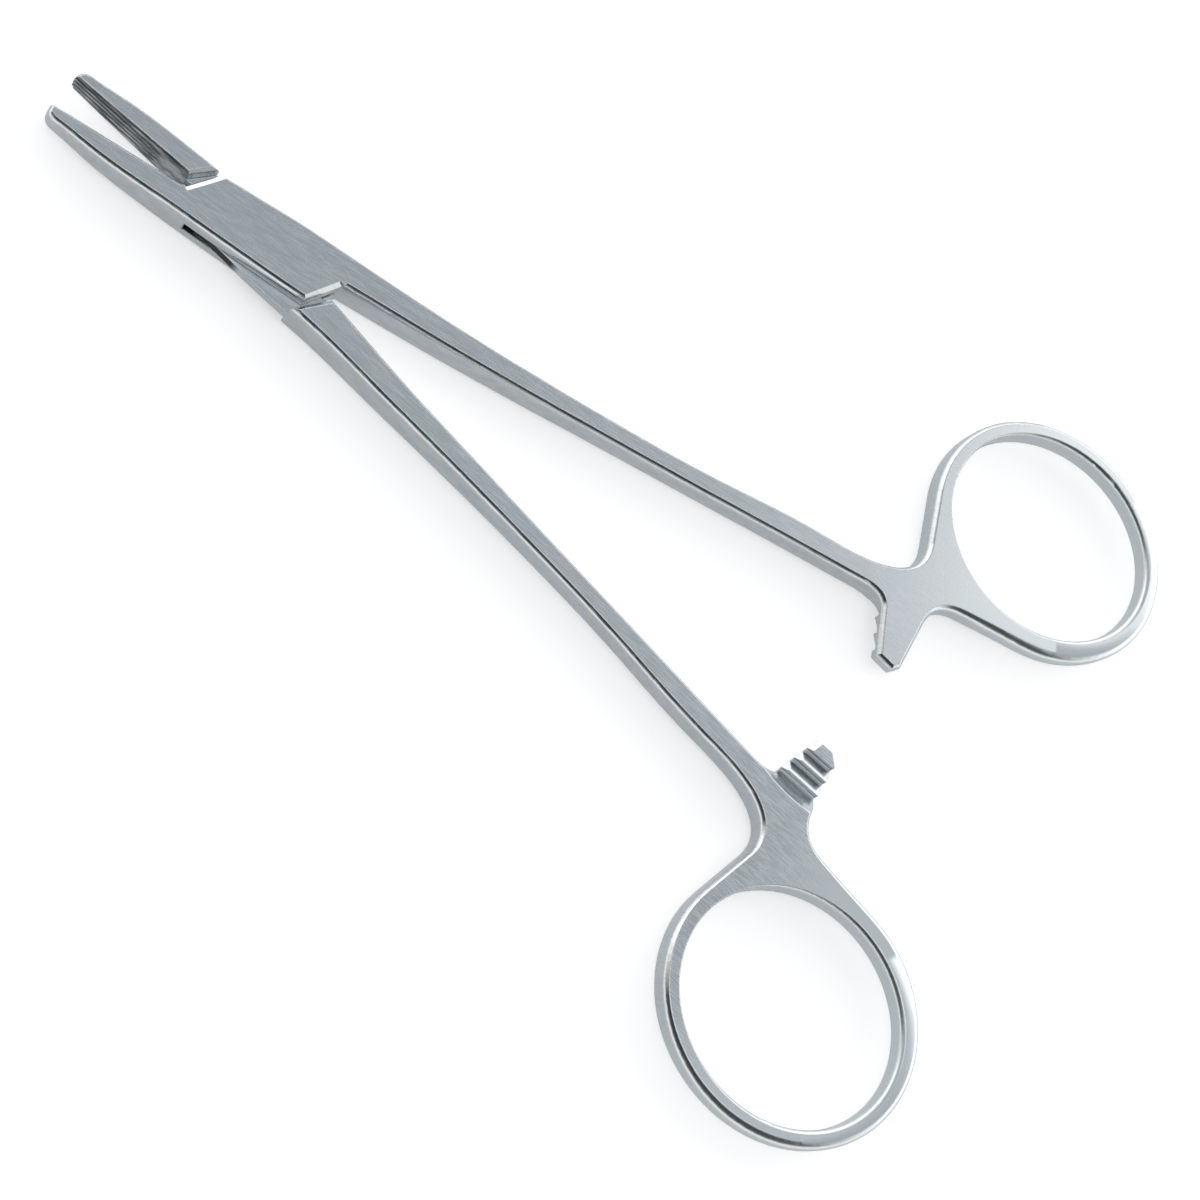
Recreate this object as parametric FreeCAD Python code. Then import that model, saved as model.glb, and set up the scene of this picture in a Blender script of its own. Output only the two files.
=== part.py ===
"""Box-lock needle holder, 13 cm pattern, shown part open.

Three pieces: a box half whose lid and cheek enclose a slot, a tongue half that
passes through that slot, and a lock pin riveted through both.
Lengths are in mm. Each half is drawn in its own arm frame: the pivot is the
origin, +X runs towards the finger ring, the jaw's gripping face is the plane
y = 0, the jaw lies at -Y and the shank and ring at +Y, and z = 0 is mid-height.
The tongue half is drawn the same way and mirrored in y.
"""
import FreeCAD
import Part
import math
import os

os.makedirs("parts", exist_ok=True)
Vector = FreeCAD.Vector

# Opening shown
jaw_angle = 9.86            # angle between the two gripping faces, degrees

# Thickness, as half heights about mid-height
box_half_height = 2.2       # jaws' root and box lock
handle_half_height = 1.65   # shanks, yokes, bars and rings
tip_half_height = 1.3       # at the jaw tips
full_height_front = 8.0     # ahead of the pivot, where the jaws start to thin
full_height_rear = 12.0     # behind the pivot, where the shanks start to thin
thin_by = 44.0              # behind the pivot, where the shanks are thin
grind_depth = 0.25          # taken off the rounded forging to leave the flat lands
ring_half_height = 1.35     # far side of the rings
ring_grind_depth = 0.03     # taken off there, which stays nearly round
forging_round = 1.15        # radius along the outer edges of the forging
hole_round = 0.72           # radius along the edges of the ring's hole
tall = 6.0                  # half height of cutters that pass right through
wide = 6.0                  # reach of the box lock's cutters to either side of the jaw line

# Jaws, as distances ahead of the pivot and widths out from the gripping face
jaw_length = 23.0
nose_length = 1.35
nose_flat = 0.35            # width of the blunt end
nose_width = 1.5            # where the nose's curve ends
jaw_stations = ((0.8, 1.95), (0.69, 2.27), (0.41, 2.64))    # share of the jaw's length, width
groove_count = 4            # lengthwise grooves in each gripping face
groove_pitch = 0.66
groove_depth = 0.28
groove_width = 0.48
groove_start = 10.6         # from the pivot, where the grooves have run out
groove_run_out = 2.2        # length over which they do
jaw_bevel = 0.22            # along the upper and lower edges of a gripping face

# Box lock
box_stations = ((-4.0, 2.87), (2.0, 3.07), (8.0, 3.17))     # along the arm, width on the jaw's side
cheek_stations = ((-1.4, 3.8), (-5.3, 3.62))                # the same on the other side
lid_front = (8.1, 55.0)     # front end: pivot to where it meets the jaw line, and its slant
lid_rear = (9.75, 57.0)     # rear end, likewise
front_gap = 0.38            # closed gap between the lid's front and the tongue half's shoulder
rear_gap = 0.12             # the same at the lid's rear
lid_front_bevel = (0.6, 0.35)       # width and drop
lid_rear_bevel = (0.5, 0.5)
front_shoulder_bevel = (0.4, 0.35)
rear_shoulder_bevel = (0.45, 0.45)
throat_round = 0.6
box_meets_shank = 7.0       # plane where the box's forging meets the shank's
box_tail = 4.5              # spare length of its forging behind the lid
slot_height = 1.2
slot_front = 6.1            # pivot to the slot's front wall
tongue_clearance = 0.05     # over, under and beside the tongue
tongue_radius = 5.55
pin_radius = 1.25
pin_clearance = 0.03        # running fit in the tongue

# Shank stations: share of the distance to the yoke, offset from the jaw line, width
yoke_x = 73.0
shank_stations = ((0.137, 2.3, 3.5), (0.247, 2.55, 3.1), (0.411, 3.2, 2.7),
                  (0.575, 4.15, 2.45), (0.74, 5.28, 2.5), (0.904, 6.6, 2.85))
shank_end_y = (5.85, 8.8)   # inner and outer edge where the yoke begins
root_shift_length = 8.0     # distance over which a half's root shift dies away
handle_root = 5.0           # where the shank forging starts, inside the box lock
root_dip = 0.25             # its inner edge's dip there

# How the two halves differ: the shift of the shank root's edges towards the jaw
# line, the reach of the yoke, bar and ring along the arm, and the bar's tip: y at
# its near and far edges and the cut of its far corner
box_side = {"inner_shift": 0.0, "outer_shift": 0.0, "reach": 0.6,
            "bar_tip": (-0.65, -1.15), "bar_corner": 0.9}
tongue_side = {"inner_shift": 0.95, "outer_shift": 0.5, "reach": 0.0,
               "bar_tip": (-1.25, -1.25), "bar_corner": 1.1}

# Ratchet bars
bar_setback = 3.25          # yoke's beginning to the bar
bar_width = 5.2             # at its root
bar_lean = (1.7, 0.35)      # how far its near edge leans back, and its far edge in, at the tip
bar_foot_y = 4.4
bar_top_y = 5.4
bar_gap = 0.1               # between the two bars' crest planes
bar_bevel = (0.65, 0.55)    # width and drop along the toothed face of the lower bar
tooth_count = 3
tooth_pitch = 1.85
tooth_depth = 0.7
tooth_floor = 0.45
tooth_land = 0.15
first_tooth_y = 0.1         # steep face of the tooth nearest the tip
step_radius = 20.0          # plan radius of the rise from the teeth to the yoke
step_y = 6.8                # where that rise meets the yoke's flat

# Finger ring
ring_setback = 9.85        # bar's far edge to the ring's centre
ring_y = 23.7
ring_outer_x = 15.1
ring_outer_y = 13.65
hole_shift = (-0.15, 0.3)   # hole's centre from the ring's centre
hole_half_x = 13.05
hole_half_y = 11.4
ring_leaves = 193.0         # angle round the ring where its straight flank down to the yoke begins
ring_arrives = -70.0        # angle where the ring's underside leaves for the bar
flank_end_y = 14.6
yoke_corner_y = 10.2        # where that flank's line would meet the shank's outer side
under_y = 9.35              # underside of the yoke behind the bar
under_setback = 3.9
under_dip = (-0.6, -0.1)    # lowest point of the underside from the ring's own
under_bend = (0.1, -0.45)   # turn from the underside into the bar
foot_bend = (-0.3, 0.3)     # turn from the bar into the shank

# Places that follow from these
bar_left = yoke_x + bar_setback
bar_right = bar_left + bar_width
ring_x = bar_right + ring_setback
hole_x = ring_x + hole_shift[0]
hole_y = ring_y + hole_shift[1]
jaw_slope = (box_half_height - tip_half_height) / (jaw_length - full_height_front)
arm_end = ring_x + ring_outer_x + 5.0
half_slot = slot_height / 2
half_tongue = half_slot - tongue_clearance


def spline(points, start, end):
    """Smooth curve through points, with its directions at both ends."""
    curve = Part.BSplineCurve()
    curve.interpolate(Points=[Vector(x, y, 0) for x, y in points],
                      InitialTangent=Vector(start[0], start[1], 0).normalize(),
                      FinalTangent=Vector(end[0], end[1], 0).normalize())
    return curve.toShape()


def line(a, b):
    return Part.makeLine(Vector(a[0], a[1], 0), Vector(b[0], b[1], 0))


def corner(start, control, end):
    """Smooth turn from start to end, heading for control at both."""
    curve = Part.BezierCurve()
    curve.setPoles([Vector(start[0], start[1], 0), Vector(control[0], control[1], 0),
                    Vector(end[0], end[1], 0)])
    return curve.toShape()


def prism(points, half_height=tall):
    """Upright prism on a plan polygon, about mid-height."""
    vectors = [Vector(x, y, -half_height) for x, y in points]
    face = Part.Face(Part.makePolygon(vectors + [vectors[0]]))
    return face.extrude(Vector(0, 0, 2 * half_height))


def side_profile(raised):
    """Slab of the instrument's side view, before grinding if raised, wider than the part."""
    front = jaw_length + nose_length + full_height_front
    extra = grind_depth if raised else 0.0
    upper = [(-front, tip_half_height - (front - jaw_length) * jaw_slope, 0.0),
             (-full_height_front, box_half_height, 3.0), (full_height_rear, box_half_height, 9.0),
             (thin_by, handle_half_height, 9.0), (yoke_x, handle_half_height, 0.0)]
    points = [Vector(x, 0, z + extra) for x, z, run in upper]
    edges = []
    last = points[0]
    for before, here, after, run in zip(points, points[1:], points[2:], [u[2] for u in upper[1:]]):
        start = here + (before - here).normalize() * run
        stop = here + (after - here).normalize() * run
        curve = Part.BezierCurve()
        curve.setPoles([start, here, stop])
        edges += [Part.makeLine(last, start), curve.toShape()]
        last = stop
    # The ring is thinner than the yoke, and less is ground off it
    end = Vector(arm_end, 0, ring_half_height + (ring_grind_depth if raised else 0.0))
    fade = Part.BezierCurve()
    half_way = Vector(ring_x - 0.5 * ring_outer_x, 0, points[-1].z)
    fade.setPoles([points[-1], half_way, Vector(half_way.x, 0, end.z), end])
    edges += [Part.makeLine(last, points[-1]), fade.toShape()]
    lower = [edge.mirror(Vector(0, 0, 0), Vector(0, 0, 1)) for edge in edges]
    ends = [Part.makeLine(point, Vector(point.x, 0, -point.z)) for point in (points[0], end)]
    face = Part.Face(Part.Wire(Part.__sortEdges__(edges + lower + ends)))
    breadth = ring_y + 2 * ring_outer_y
    face.translate(Vector(0, -breadth, 0))
    return face.extrude(Vector(0, 2 * breadth, 0))


def ring_point(degrees, reach):
    angle = math.radians(degrees)
    return (ring_x + reach + ring_outer_x * math.cos(angle),
            ring_y + ring_outer_y * math.sin(angle))


def ring_direction(degrees):
    """Direction of travel round the ring, with the angle falling."""
    angle = math.radians(degrees)
    return (ring_outer_x * math.sin(angle), -ring_outer_y * math.cos(angle))


def shank_sides(half):
    """Outer and inner edge points of a half's shank."""
    outer = []
    inner = []
    root = shank_stations[0][0] * yoke_x
    for share, centre, width in shank_stations:
        x = share * yoke_x
        fade = math.exp(-((x - root) / root_shift_length) ** 2)
        outer.append((x, centre + width / 2 - half["outer_shift"] * fade))
        inner.append((x, centre - width / 2 - half["inner_shift"] * fade))
    return outer, inner


def bar_outline(half):
    """Plan points of a ratchet bar, round its tip, from the far edge's top to the near edge's foot."""
    left = bar_left + half["reach"]
    right = bar_right + half["reach"]
    near_tip, far_tip = half["bar_tip"]
    cut = half["bar_corner"]
    far_edge = right - bar_lean[1]
    return [(right, bar_top_y), (far_edge, far_tip + cut), (far_edge - cut, far_tip),
            (left + bar_lean[0], near_tip), (left, bar_foot_y)]


def handle_face(half):
    """Plan of a shank, yoke, ratchet bar and finger ring, from inside the box lock back."""
    outer, inner = shank_sides(half)
    reach = half["reach"]
    root_outer = (handle_root, outer[0][1])
    root_inner = (handle_root, inner[0][1] - root_dip)
    inner_end = (yoke_x + reach, shank_end_y[0])
    outer_end = (yoke_x + reach, shank_end_y[1])
    # Outer side of the shank, the turn into the ring and the ring itself
    leave = ring_point(ring_leaves, reach)
    lean = ring_direction(ring_leaves)[0] / ring_direction(ring_leaves)[1]
    flank_end, yoke_corner = [(leave[0] + lean * (y - leave[1]), y) for y in (flank_end_y, yoke_corner_y)]
    outer_edge = spline(outer + [outer_end], (1, 0),
                        (yoke_corner[0] - outer_end[0], yoke_corner[1] - outer_end[1]))
    outer_turn = corner(outer_end, yoke_corner, flank_end)
    ellipse = Part.Ellipse(Vector(ring_x + reach, ring_y, 0), ring_outer_x, ring_outer_y)
    ring_edge = Part.ArcOfEllipse(ellipse, math.radians(ring_arrives),
                                  math.radians(ring_leaves)).toShape()
    # Under the ring to the ratchet bar, round it and back along the shank's inner side
    bar = bar_outline(half)
    under_end = (bar_right + under_setback + reach, under_y)
    under_middle = (ring_x + under_dip[0] + reach, ring_y - ring_outer_y + under_dip[1])
    under_edge = spline([ring_point(ring_arrives, reach), under_middle, under_end],
                        ring_direction(ring_arrives), (-1, -0.12))
    under_turn = corner(under_end, (bar[0][0] + under_bend[0], under_y + under_bend[1]), bar[0])
    foot_turn = corner(bar[-1], (bar[-1][0] + foot_bend[0], shank_end_y[0] + foot_bend[1]), inner_end)
    inner_edge = spline([inner_end] + inner[::-1] + [root_inner], (-1, -0.1), (-1, 0))
    edges = [line(root_outer, outer[0]), outer_edge, outer_turn, line(flank_end, leave), ring_edge]
    edges += [under_edge, under_turn]
    edges += [line(a, b) for a, b in zip(bar, bar[1:])]
    edges += [foot_turn, inner_edge, line(root_inner, root_outer)]
    plan = Part.Face(Part.Wire(Part.__sortEdges__(edges)))
    hole = Part.Ellipse(Vector(hole_x + reach, hole_y, 0), hole_half_x, hole_half_y)
    return plan.cut(Part.Face(Part.Wire(hole.toShape())))


def jaw_face(half):
    """Plan of a jaw and its part of the box lock, left wide on the gripping side."""
    rear_end = lid_rear[0] + box_tail
    tip = -jaw_length
    blunt_end = (tip, -nose_flat)
    nose_end = (tip + nose_length, -nose_width)
    stations = [(-share * jaw_length, -width) for share, width in jaw_stations]
    stations += [(x, -width) for x, width in box_stations]
    rear_corner = (rear_end, stations[-1][1])
    outer_edge = spline([nose_end] + stations + [rear_corner], (nose_length, -0.1), (1, 0))
    side = shank_sides(half)[0][0][1]
    cheek = [(x, y + side - shank_stations[0][1] - shank_stations[0][2] / 2) for x, y in cheek_stations]
    far_side = [(handle_root, side)] + cheek
    inner_edge = spline(far_side, (-1, 0), (-1, -0.04))
    open_corner = (tip, cheek[-1][1] - 1.0)
    edges = [outer_edge, corner(blunt_end, (tip, 0.1 - nose_width), nose_end), inner_edge,
             line((rear_end, side), (handle_root, side)), line(rear_corner, (rear_end, side)),
             line(cheek[-1], open_corner), line(open_corner, blunt_end)]
    return Part.Face(Part.Wire(Part.__sortEdges__(edges)))


def middle(edge):
    return edge.valueAt(0.5 * (edge.FirstParameter + edge.LastParameter))


def lengthwise(edge):
    """True for an edge along the top or the bottom of a plan extrusion."""
    return abs(middle(edge).z) > 0.5 * tip_half_height


def near_hole(point, reach):
    across = (point.x - hole_x - reach) / (hole_half_x + 0.5)
    along = (point.y - hole_y) / (hole_half_y + 0.5)
    return across ** 2 + along ** 2 < 1


def forging(face, keep_sharp, reach=0.0):
    """Extrude a plan, round its upper and lower edges, and grind the lands flat."""
    face = face.copy()
    face.translate(Vector(0, 0, -tall))
    solid = face.extrude(Vector(0, 0, 2 * tall)).common(side_profile(True))
    edges = [edge for edge in solid.Edges if lengthwise(edge)]
    holes = [edge for edge in edges if near_hole(middle(edge), reach)]
    rounds = [edge for edge in edges if not near_hole(middle(edge), reach)
              and not keep_sharp(middle(edge))]
    solid = solid.makeFillet(forging_round, rounds)
    if holes:
        holes = [edge for edge in solid.Edges if lengthwise(edge) and near_hole(middle(edge), reach)]
        solid = solid.makeFillet(hole_round, holes)
    return solid.common(side_profile(False))


def box_forging(half):
    rear_end = lid_rear[0] + box_tail
    return forging(jaw_face(half), lambda p: p.x > rear_end - 0.1 or (p.x < -jaw_length + 0.1 and p.y > 0))


def handle_forging(half):
    return forging(handle_face(half), lambda p: p.x < handle_root + 0.05, half["reach"])


def end_line(end, ahead, side, offset=0.0):
    """Slanted end of the lid: its point on the jaw line, direction and outward direction.

    ahead is -1 at the jaw end and +1 at the shank end; side is the sign of y on
    which the end slants back towards the pivot.
    """
    distance, degrees = end
    slant = math.radians(degrees)
    direction = Vector(-ahead * math.cos(slant), side * math.sin(slant), 0)
    outward = Vector(ahead * math.sin(slant), side * math.cos(slant), 0)
    past = offset / math.sin(slant)
    return Vector(ahead * (distance + past), 0, 0), direction, outward


def on_end(end, ahead, side, offset, y):
    """Point of a lid end, or of the shoulder that faces it, at the given y."""
    origin, direction, outward = end_line(end, ahead, side, offset)
    return origin + direction * (y / direction.y)


def beyond(end, ahead, side, offset=0.0, inner=0.0, rounded=0.0):
    """Prism over all that lies past a lid end, on its side of the plane y = inner."""
    start = on_end(end, ahead, side, offset, inner)
    stop = on_end(end, ahead, side, offset, inner + side * 60.0)
    far = 2 * arm_end * ahead
    solid = prism([(start.x, start.y), (stop.x, stop.y), (far, stop.y), (far, inner)])
    if rounded:
        inside = [edge for edge in solid.Edges
                  if abs(middle(edge).x - start.x) < 0.01 and abs(middle(edge).y - start.y) < 0.01]
        solid = solid.makeFillet(rounded, inside)
    return solid


def bevel(start, end, inward, up, size):
    """Wedge that bevels the sharp upper or lower edge, from start to end, of an upright wall."""
    width, drop = size
    along = (end - start).normalize()
    inward = Vector(inward.x, inward.y, 0).normalize()
    rise = Vector(0, 0, up)
    margin = 1.5
    slope = drop / width
    outer = start - inward * margin - rise * (drop + margin * slope)
    inner = start + inward * (width + margin) + rise * (margin * slope)
    above = start - inward * margin + rise * (margin * slope)
    face = Part.Face(Part.makePolygon([outer, inner, above, outer]))
    return face.extrude(along * (end - start).Length)


def end_bevels(end, ahead, side, offset, facing, size, ys):
    """Bevel cutters for the upper and lower edges of a lid end or a shoulder."""
    outward = end_line(end, ahead, side, offset)[2]
    cutters = []
    for up in (1, -1):
        height = Vector(0, 0, up * box_half_height)
        start, stop = [on_end(end, ahead, side, offset, y) + height for y in ys]
        cutters.append(bevel(start, stop, outward * facing, up, size))
    return cutters


def groove(z):
    """Cutter of one lengthwise groove, which runs out towards the box lock."""
    full_from = groove_start + groove_run_out
    profile = [Vector(-full_from, groove_depth, z + groove_width),
               Vector(-full_from, groove_depth, z - groove_width),
               Vector(-full_from, -groove_depth, z)]
    base = Part.Face(Part.makePolygon(profile + [profile[0]]))
    straight = base.extrude(Vector(-jaw_length, 0, 0))
    point = Vector(-groove_start, groove_depth, z)
    sides = [Part.Face(Part.makePolygon([a, b, point, a]))
             for a, b in zip(profile, profile[1:] + profile[:1])]
    run_out = Part.Solid(Part.Shell([base] + sides))
    return straight.fuse(run_out)


def gripping_cuts(bevel_end):
    """Lengthwise grooves and edge bevels of a gripping face."""
    cutters = [groove((index - (groove_count - 1) / 2) * groove_pitch) for index in range(groove_count)]
    front = jaw_length + nose_length
    for up in (1, -1):
        start = Vector(-front, 0, up * (tip_half_height - nose_length * jaw_slope))
        back = box_half_height - (bevel_end - full_height_front) * jaw_slope
        stop = Vector(-bevel_end, 0, up * back)
        cutters.append(bevel(start, stop, Vector(0, -1, 0), up, (jaw_bevel, jaw_bevel)))
    return cutters


def teeth_cutter(reach):
    """All that is cut from a bar's toothed side, for teeth that face up."""
    crest = -bar_gap / 2
    floor = crest - tooth_depth
    margin = 2.5
    left = bar_left - margin + reach
    across = bar_width + 2 * margin
    last_steep = first_tooth_y + (tooth_count - 1) * tooth_pitch
    last = last_steep + tooth_floor
    profile = [(-2 * step_y, tall), (-2 * step_y, crest)]
    for index in range(tooth_count):
        steep = first_tooth_y + index * tooth_pitch
        profile += [(steep, crest), (steep, floor), (steep + tooth_floor, floor)]
        if index < tooth_count - 1:
            profile.append((steep + tooth_pitch - tooth_land, crest))
    profile.append((last, tall))
    points = [Vector(left, y, z) for y, z in profile]
    teeth = Part.Face(Part.makePolygon(points + [points[0]])).extrude(Vector(across, 0, 0))
    # Past the last tooth, the rise to the yoke is part of a cone about an upright axis
    rise = handle_half_height - floor
    foot_radius = step_radius - (step_y - last)
    slope = (step_radius - foot_radius) / rise
    above = tall - handle_half_height
    centre = Vector(0.5 * (bar_left + bar_right) + reach, step_y - step_radius, floor)
    cone = Part.makeCone(foot_radius, step_radius + above * slope, rise + above, centre)
    limits = Part.makeBox(across, step_y - last_steep + margin, 2 * tall, Vector(left, last_steep, floor))
    return teeth.fuse(cone.common(limits))


def lock_pin(radius=pin_radius):
    return Part.makeCylinder(radius, 2 * box_half_height, Vector(0, 0, -box_half_height))


def cut_all(solid, cutters):
    for cutter in cutters:
        solid = solid.cut(cutter)
    return solid


def build_box_half():
    """Jaw, lid, cheek, shank, ring and upper bar, with the slot for the tongue."""
    shank_middle = shank_stations[0][1]
    shank_inner = shank_sides(box_side)[1][0][1]
    # The box's forging ends at the lid's rear and, beside the shank, at one plane
    inner_corner = on_end(lid_rear, 1, -1, 0.0, shank_middle)
    outer_corner = on_end(lid_rear, 1, -1, 0.0, -2 * wide)
    far = 2 * arm_end
    behind = prism([(box_meets_shank, far), (box_meets_shank, shank_middle),
                    (inner_corner.x, inner_corner.y), (outer_corner.x, outer_corner.y),
                    (far, outer_corner.y), (far, far)])
    box = box_forging(box_side).cut(beyond(lid_front, -1, 1, rounded=throat_round)).cut(behind)
    solid = box.fuse(handle_forging(box_side).common(behind)).removeSplitter()
    solid = cut_all(solid, end_bevels(lid_front, -1, 1, 0.0, -1, lid_front_bevel, (0.0, wide)))
    solid = cut_all(solid, end_bevels(lid_rear, 1, -1, 0.0, -1, lid_rear_bevel, (shank_inner, -wide)))
    # The slot, open to the jaw side ahead and to the other half's shank behind
    slot_inner = shank_inner - 2 * tongue_clearance
    slot_back = on_end(lid_rear, 1, -1, 0.0, slot_inner).x
    slot = prism([(-slot_front, -wide), (slot_front, -wide), (slot_front, wide), (-slot_front, wide)],
                 half_slot)
    ahead = prism([(-2 * wide, 0), (0, 0), (0, wide), (-2 * wide, wide)], half_slot)
    rear = prism([(0, -wide), (slot_back, -wide), (slot_back, slot_inner), (0, slot_inner)], half_slot)
    solid = solid.cut(slot.fuse(ahead).fuse(rear))
    solid = cut_all(solid, gripping_cuts(lid_front[0] + throat_round / 2))
    teeth = teeth_cutter(box_side["reach"]).mirror(Vector(0, 0, 0), Vector(0, 0, 1))
    return solid.cut(teeth).cut(lock_pin())


def build_tongue_half():
    """Jaw, tongue, shank, ring and lower bar; drawn as the box half is."""
    box = box_forging(tongue_side)
    handle = handle_forging(tongue_side)
    jaw = box.common(beyond(lid_front, -1, -1, front_gap))
    jaw = cut_all(jaw, end_bevels(lid_front, -1, -1, front_gap, 1, front_shoulder_bevel, (1.0, -wide)))
    shank = handle.common(beyond(lid_rear, 1, 1, rear_gap, -3.0))
    shank = cut_all(shank, end_bevels(lid_rear, 1, 1, rear_gap, 1, rear_shoulder_bevel, (-2.0, wide)))
    # The tongue is a disc about the pin with a neck to the jaw and one to the shank
    shank_inner = shank_sides(box_side)[1][0][1]
    neck_inner = 3 * tongue_clearance - shank_inner
    disc = Part.makeCylinder(tongue_radius, 2 * half_tongue, Vector(0, 0, -half_tongue))
    neck_front = -lid_front[0] - 0.9
    front = prism([(neck_front, -tongue_clearance), (0, -tongue_clearance), (0, -wide),
                   (neck_front, -wide)], half_tongue)
    rear = prism([(0, neck_inner), (2 * wide, neck_inner), (2 * wide, wide), (0, wide)], half_tongue)
    tongue = disc.fuse(front).fuse(rear).common(box.fuse(handle)).removeSplitter()
    solid = jaw.fuse(tongue).fuse(shank).removeSplitter()
    solid = cut_all(solid, gripping_cuts(lid_front[0] - 1.0))
    solid = solid.cut(teeth_cutter(tongue_side["reach"]))
    foot, tip = [Vector(x, y, -bar_gap / 2) for x, y in bar_outline(tongue_side)[:2:-1]]
    along = (tip - foot).normalize()
    inward = Vector(-along.y, along.x, 0)
    solid = solid.cut(bevel(foot, tip + along * 2.0, inward, 1, bar_bevel))
    return solid.cut(lock_pin(pin_radius + pin_clearance)).mirror(Vector(0, 0, 0), Vector(0, 1, 0))


def place(shape, degrees):
    """Swing a piece about the pivot and set the box lock's underside on z = 0."""
    shape = shape.copy()
    shape.rotate(Vector(0, 0, 0), Vector(0, 0, 1), degrees)
    shape.translate(Vector(0, 0, box_half_height))
    return shape


def write(shape, name):
    solids = shape.Solids
    print(name, "solids", len(solids), "valid", shape.isValid(), "volume", round(shape.Volume, 2),
          "faces", len(shape.Faces))
    (solids[0] if len(solids) == 1 else shape).exportStep("parts/" + name + ".step")


write(place(build_box_half(), jaw_angle / 2), "box_half")
write(place(build_tongue_half(), -jaw_angle / 2), "tongue_half")
write(place(lock_pin(), jaw_angle / 2), "lock_pin")
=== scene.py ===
"""Satin stainless needle holder on a white table, seen from above its jaws' side.

Lengths are in metres in the object's own frame: the pivot stands on the origin,
+X runs towards the finger rings and z = 0 is the table.
"""

import math

import bmesh
import bpy
from mathutils import Matrix, Vector


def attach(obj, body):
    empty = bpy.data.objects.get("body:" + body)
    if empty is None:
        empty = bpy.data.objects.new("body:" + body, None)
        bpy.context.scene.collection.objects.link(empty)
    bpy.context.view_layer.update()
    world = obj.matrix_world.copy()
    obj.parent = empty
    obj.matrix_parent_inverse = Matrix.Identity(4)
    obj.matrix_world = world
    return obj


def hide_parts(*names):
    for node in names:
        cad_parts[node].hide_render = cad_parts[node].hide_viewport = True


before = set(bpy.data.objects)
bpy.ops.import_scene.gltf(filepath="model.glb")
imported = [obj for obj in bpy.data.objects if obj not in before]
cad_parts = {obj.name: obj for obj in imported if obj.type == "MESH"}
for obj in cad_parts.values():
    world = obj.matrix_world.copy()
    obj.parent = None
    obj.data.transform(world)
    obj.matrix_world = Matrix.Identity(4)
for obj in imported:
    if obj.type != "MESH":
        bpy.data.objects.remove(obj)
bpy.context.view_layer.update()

MM = 0.001

# Camera, as real places
CAMERA_PLACE = Vector((6.65, -113.26, 216.72)) * MM
CAMERA_TARGET = Vector((49.49, -9.12, 4.40)) * MM
IMAGE_UP = Vector((-0.5983, 0.7605, 0.2523))
LENS_MM = 71.15
SENSOR_MM = 36.0
CLIP_START = 5 * MM

# Steel. Places are along and across one arm from the pivot, and each pair of
# bounds runs from where its feature is absent to where it is full.
JAW_ANGLE = math.radians(9.86)          # between the gripping faces at rest
LID_END = (10.5 * MM, 9.5 * MM)
YOKE_START = (71 * MM, 76 * MM)
FAR_RING = (78 * MM, 90 * MM)
GRIP_END = (-5.5 * MM, -6.5 * MM)
GRIP_REACH = (0.5 * MM, 0.4 * MM)       # from the jaw line
SLOT_FRONT = (-6.3 * MM, -6.1 * MM)
SLOT_SHADE_END = (1.5 * MM, 0.2 * MM)
SLOT_NEAR_SIDE = (0.0, -1.0 * MM)
SLOT_MIDDLE = 2.2 * MM
SLOT_REACH = (0.66 * MM, 0.6 * MM)      # from its middle
FROM_PIN = (1.6 * MM, 1.9 * MM)
EDGE_BREAK = 0.17 * MM
LAND_FACING = (0.975, 0.997)
SIDE_FACING = (0.4, 0.6)
LINES_ALONG = (0.35 / MM, 6.0 / MM, 1.0 / MM)
LINES_ACROSS = (0.5 / MM, 6.0 / MM, 1.0 / MM)
ACROSS_TURN = math.radians(68)
LINE_DEPTH = 0.001 * MM
ACROSS_STRENGTH = 0.6
CLOUD_SCALE = 0.25 / MM
WELD = 0.0005 * MM
SHARP_EDGE = math.radians(22)

# Table and studio. Directions are parts of a unit vector.
FLOOR_SIZE = 3.0
TABLE_GLOW = 0.5                        # as the camera sees it
SHALLOW = (0.55, 0.9, 0.28, 0.85)       # glow of the table in the metal, by how low it is seen
PATCH_X, PATCH_Y = (0.2, 0.28), (0.43, 0.52)
DIP_LEFT, DIP_RIGHT, DIP_Y = (0.24, 0.28), (0.33, 0.3), (0.46, 0.41)
WALL_Z = (0.62, 0.3)
WARM_Y = (0.1, -0.3)
LAMP_X, LAMP_FAR, LAMP_NEAR, LAMP_Z = (0.5, 0.35), (0.3, 0.15), (-0.5, -0.38), (0.5, 0.6)
STRIP_Y, STRIP_LOW, STRIP_HIGH = (-0.2, -0.5), (-0.05, 0.28), (0.9, 0.75)
WALL_POWER = (-0.3, 0.5, 0.9, 2.0)      # from the camera's side to the far side
PATCH_POWER = (0.0, 1.0, 1.0, 1.4)
LAMP_POWER = 1.2


def colour(code):
    """Linear colour from an sRGB hex value."""
    values = [int(code[i:i + 2], 16) / 255 for i in (1, 3, 5)]
    return tuple(v / 12.92 if v <= 0.04045 else ((v + 0.055) / 1.055) ** 2.4
                 for v in values) + (1.0,)


def add(tree, kind, links=None, **settings):
    """Add a node. Settings are attributes or input sockets; links go into input sockets."""
    node = tree.nodes.new(kind)
    for name, value in settings.items():
        if hasattr(node, name):
            setattr(node, name, value)
        else:
            node.inputs[name.replace("_", " ")].default_value = value
    for socket, source in (links or {}).items():
        tree.links.new(source, node.inputs[socket])
    return node


def empty_material(name):
    material = bpy.data.materials.new(name)
    material.use_nodes = True
    material.node_tree.nodes.clear()
    return material


def linked(piece):
    bpy.context.scene.collection.objects.link(piece)
    return piece


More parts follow.
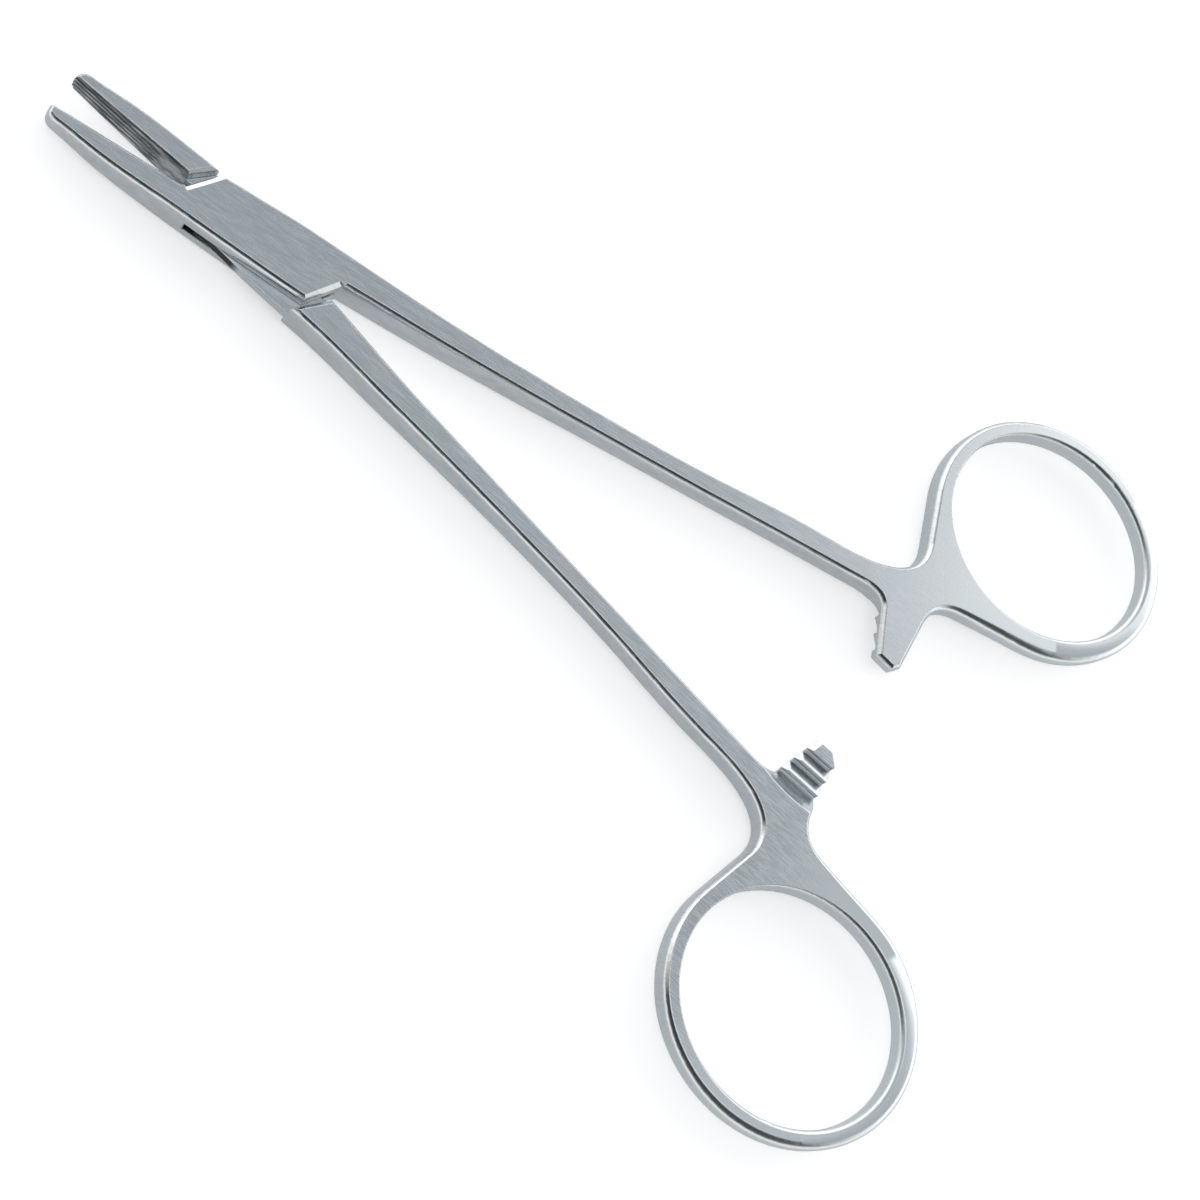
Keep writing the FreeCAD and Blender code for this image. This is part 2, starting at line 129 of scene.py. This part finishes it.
def limits(tree, value, low, high, to_low=0.0, to_high=1.0):
    """Smooth step of a value between two bounds, which may run downwards."""
    step = add(tree, "ShaderNodeMapRange", {"Value": value}, interpolation_type="SMOOTHSTEP")
    step.inputs["From Min"].default_value = low
    step.inputs["From Max"].default_value = high
    step.inputs["To Min"].default_value = to_low
    step.inputs["To Max"].default_value = to_high
    return step.outputs["Result"]


def product(tree, *values):
    result = values[0]
    for value in values[1:]:
        result = add(tree, "ShaderNodeMath", {0: result, 1: value},
                     operation="MULTIPLY").outputs[0]
    return result


def where(tree, *tests):
    """Mask of the place that passes every test, each a value with its bounds."""
    return product(tree, *[limits(tree, value, *bounds) for value, bounds in tests])


def absolute(tree, value):
    return add(tree, "ShaderNodeMath", {0: value}, operation="ABSOLUTE").outputs[0]


def blend(tree, amount, below, above):
    """Colour below, turning into colour above as the amount rises. Either may be a socket."""
    mix = add(tree, "ShaderNodeMix", {"Factor": amount}, data_type="RGBA")
    for place, tint in ((6, below), (7, above)):
        if isinstance(tint, str):
            mix.inputs[place].default_value = colour(tint)
        else:
            tree.links.new(tint, mix.inputs[place])
    return mix.outputs[2]


def between(tree, amount, below, above):
    """Number below, turning into number above as the amount rises. Either may be a socket."""
    mix = add(tree, "ShaderNodeMix", {"Factor": amount})
    for place, value in ((2, below), (3, above)):
        if isinstance(value, float):
            mix.inputs[place].default_value = value
        else:
            tree.links.new(value, mix.inputs[place])
    return mix.outputs[0]


def belt_lines(tree, vector, turn, scale):
    """Noise drawn out into the lines of a fine belt, about 0.2 mm apart and 3 mm long."""
    way = add(tree, "ShaderNodeMapping", {"Vector": vector}, Rotation=(0, 0, turn), Scale=scale)
    return add(tree, "ShaderNodeTexNoise", {"Vector": way.outputs["Vector"]},
               Scale=1.0, Detail=3.0, Roughness=0.6).outputs["Fac"]


def broken_edges(tree, place):
    """Normal with broken edges. None near the pin, which is ground flush."""
    flat = add(tree, "ShaderNodeVectorMath", {0: place}, operation="MULTIPLY")
    flat.inputs[1].default_value = (1, 1, 0)
    reach = add(tree, "ShaderNodeVectorMath", {0: flat.outputs["Vector"]}, operation="LENGTH")
    radius = limits(tree, reach.outputs["Value"], *FROM_PIN, 0, EDGE_BREAK)
    return add(tree, "ShaderNodeBevel", {"Radius": radius}, samples=6).outputs["Normal"]


def brushed_stainless(name, turn):
    """Ground and satin-brushed stainless steel of one half, whose arm is turned from +X.

    The flat lands were drawn over a fine belt, along the shanks and across the
    lid, bars and yokes. The rounded sides were only tumbled and stay smoother.
    The gripping faces are left rough and streaked, and their darker tone is painted shade from
    between the jaws.
    """
    material = empty_material(name)
    tree = material.node_tree
    place = add(tree, "ShaderNodeTexCoord").outputs["Object"]
    arm = add(tree, "ShaderNodeMapping", {"Vector": place}, vector_type="TEXTURE",
              Rotation=(0, 0, turn)).outputs["Vector"]
    x, y, z = add(tree, "ShaderNodeSeparateXYZ", {"Vector": arm}).outputs
    along = belt_lines(tree, arm, 0.0, LINES_ALONG)
    across = belt_lines(tree, arm, ACROSS_TURN, LINES_ACROSS)
    crossed = add(tree, "ShaderNodeMath", {0: limits(tree, x, *LID_END),
                                           1: limits(tree, x, *YOKE_START)},
                  operation="ADD").outputs[0]
    belt = between(tree, crossed, along, across)
    cloud = add(tree, "ShaderNodeTexNoise", {"Vector": place},
                Scale=CLOUD_SCALE, Detail=2.0, Roughness=0.5).outputs["Fac"]
    normal = broken_edges(tree, place)
    _, facing_y, facing_z = [absolute(tree, axis) for axis in
                             add(tree, "ShaderNodeSeparateXYZ", {"Vector": normal}).outputs]
    land = limits(tree, facing_z, *LAND_FACING)
    rough = between(tree, land, limits(tree, cloud, 0.3, 0.7, 0.15, 0.2),
                    limits(tree, belt, 0.3, 0.7, 0.23, 0.29))
    tone = blend(tree, limits(tree, belt, 0.32, 0.68), "#ced3d7", "#d9dde0")
    # The rings' far sides were tumbled only, so they have no lines, and they are given a paler
    # tone
    far = limits(tree, x, *FAR_RING)
    rough = between(tree, far, rough, 0.27)
    tone = blend(tree, far, tone, "#e0e5e8")
    # Gripping faces, on the jaw line ahead of the box lock: rougher and streaked, darkened with
    # painted shade
    grip_with_painted_shade = where(tree, (x, GRIP_END), (absolute(tree, y), GRIP_REACH), (facing_y, SIDE_FACING))
    grip_streaks_painted_dark = blend(tree, limits(tree, along, 0.35, 0.65), "#85898c", "#e4e6e8")
    rough = between(tree, grip_with_painted_shade, rough, 0.38)
    tone = blend(tree, grip_with_painted_shade, tone, grip_streaks_painted_dark)
    # Painted shade on the tongue's side in the slot, ahead of the pin, where little light gets
    height = add(tree, "ShaderNodeMath", {0: z}, operation="SUBTRACT")
    height.inputs[1].default_value = SLOT_MIDDLE
    painted_slot_shade = where(tree, (absolute(tree, height.outputs[0]), SLOT_REACH), (x, SLOT_FRONT),
                 (x, SLOT_SHADE_END), (y, SLOT_NEAR_SIDE), (facing_z, SIDE_FACING[::-1]))
    tone = blend(tree, painted_slot_shade, tone, "#2b2d2f")
    strength = product(tree, land, limits(tree, grip_with_painted_shade, 1.0, 0.0), limits(tree, far, 1.0, 0.0),
                       limits(tree, crossed, 0.0, 1.0, 1.0, ACROSS_STRENGTH))
    bump = add(tree, "ShaderNodeBump", {"Height": belt, "Strength": strength, "Normal": normal},
               Distance=LINE_DEPTH).outputs["Normal"]
    shader = add(tree, "ShaderNodeBsdfPrincipled",
                 {"Base Color": tone, "Roughness": rough, "Normal": bump}, Metallic=1.0)
    add(tree, "ShaderNodeOutputMaterial", {"Surface": shader.outputs["BSDF"]})
    return material


def finished(node, material, body):
    """Merged, smooth-shaded stand-in for a CAD node."""
    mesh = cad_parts[node].data.copy()
    piece = linked(bpy.data.objects.new(node + "_steel", mesh))
    form = bmesh.new()
    form.from_mesh(mesh)
    bmesh.ops.remove_doubles(form, verts=form.verts, dist=WELD)
    for face in form.faces:
        face.smooth = True
    for edge in form.edges:
        edge.smooth = len(edge.link_faces) == 2 and edge.calc_face_angle(0) < SHARP_EDGE
    form.to_mesh(mesh)
    form.free()
    mesh.materials.clear()
    mesh.materials.append(material)
    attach(piece, body)
    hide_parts(node)


def white_table():
    """White sweep, overexposed for the camera and greyer in the metal, as in the photo."""
    form = bmesh.new()
    bmesh.ops.create_grid(form, x_segments=1, y_segments=1, size=FLOOR_SIZE / 2)
    mesh = bpy.data.meshes.new("table")
    form.to_mesh(mesh)
    form.free()
    table = linked(bpy.data.objects.new("table", mesh))
    material = empty_material("white_table")
    tree = material.node_tree
    path = add(tree, "ShaderNodeLightPath")
    low = add(tree, "ShaderNodeLayerWeight", Blend=0.5).outputs["Facing"]
    sheen = product(tree, path.outputs["Is Glossy Ray"], limits(tree, low, *SHALLOW))
    glow = between(tree, path.outputs["Is Camera Ray"], sheen, TABLE_GLOW)
    light = add(tree, "ShaderNodeEmission", {"Strength": glow}, Color=(1, 1, 1, 1))
    tone = blend(tree, path.outputs["Is Glossy Ray"], "#f4f4f4", "#c9ccce")
    paint = add(tree, "ShaderNodeBsdfDiffuse", {"Color": tone})
    both = add(tree, "ShaderNodeAddShader", {0: paint.outputs[0], 1: light.outputs[0]})
    add(tree, "ShaderNodeOutputMaterial", {"Surface": both.outputs[0]})
    mesh.materials.append(material)


def studio():
    """White room under a grey ceiling, with a dark strip low on the camera's side, at -Y."""
    world = bpy.data.worlds.new("studio")
    world.use_nodes = True
    tree = world.node_tree
    tree.nodes.clear()
    towards = add(tree, "ShaderNodeTexCoord").outputs["Generated"]
    x, y, z = add(tree, "ShaderNodeSeparateXYZ", {"Vector": towards}).outputs
    # Grey ceiling over the lands, paler over the box half's ring and darker over the other's
    patch = where(tree, (x, PATCH_X), (y, PATCH_Y))
    dip = where(tree, (x, DIP_LEFT), (x, DIP_RIGHT), (y, DIP_Y))
    ceiling = blend(tree, dip, blend(tree, patch, "#adb3b7", "#ffffff"), "#3c434a")
    # Bright walls, the far one brightest, and a lamp straight overhead
    wall = limits(tree, z, *WALL_Z)
    lamp = where(tree, (absolute(tree, x), LAMP_X), (y, LAMP_FAR), (y, LAMP_NEAR), (z, LAMP_Z))
    paper = blend(tree, limits(tree, y, *WARM_Y), "#ffffff", "#f5ecdc")
    sky = blend(tree, lamp, blend(tree, wall, ceiling, paper), "#ffffff")
    above = between(tree, lamp, limits(tree, patch, *PATCH_POWER), LAMP_POWER)
    power = between(tree, wall, above, limits(tree, y, *WALL_POWER))
    # Dark strip above the horizon on the camera's side, seen in the lands' near edges
    strip = where(tree, (y, STRIP_Y), (z, STRIP_LOW), (z, STRIP_HIGH))
    glow = add(tree, "ShaderNodeBackground", {"Color": blend(tree, strip, sky, "#383d42"),
                                              "Strength": between(tree, strip, power, 1.0)})
    add(tree, "ShaderNodeOutputWorld", {"Surface": glow.outputs[0]})
    bpy.context.scene.world = world


def photo_camera():
    data = bpy.data.cameras.new("camera")
    data.sensor_width = SENSOR_MM
    data.lens = LENS_MM
    data.clip_start = CLIP_START
    camera = linked(bpy.data.objects.new("camera", data))
    forward = (CAMERA_TARGET - CAMERA_PLACE).normalized()
    side = forward.cross(IMAGE_UP).normalized()
    turn = Matrix((side, side.cross(forward), -forward)).transposed().to_4x4()
    camera.matrix_world = Matrix.Translation(CAMERA_PLACE) @ turn
    bpy.context.scene.camera = camera


box_steel = brushed_stainless("brushed_stainless_box_half", JAW_ANGLE / 2)
tongue_steel = brushed_stainless("brushed_stainless_tongue_half", -JAW_ANGLE / 2)
finished("box_half", box_steel, "box_arm")
finished("lock_pin", box_steel, "box_arm")
finished("tongue_half", tongue_steel, "tongue_arm")
white_table()
studio()
photo_camera()
bpy.context.scene.view_settings.view_transform = "Standard"
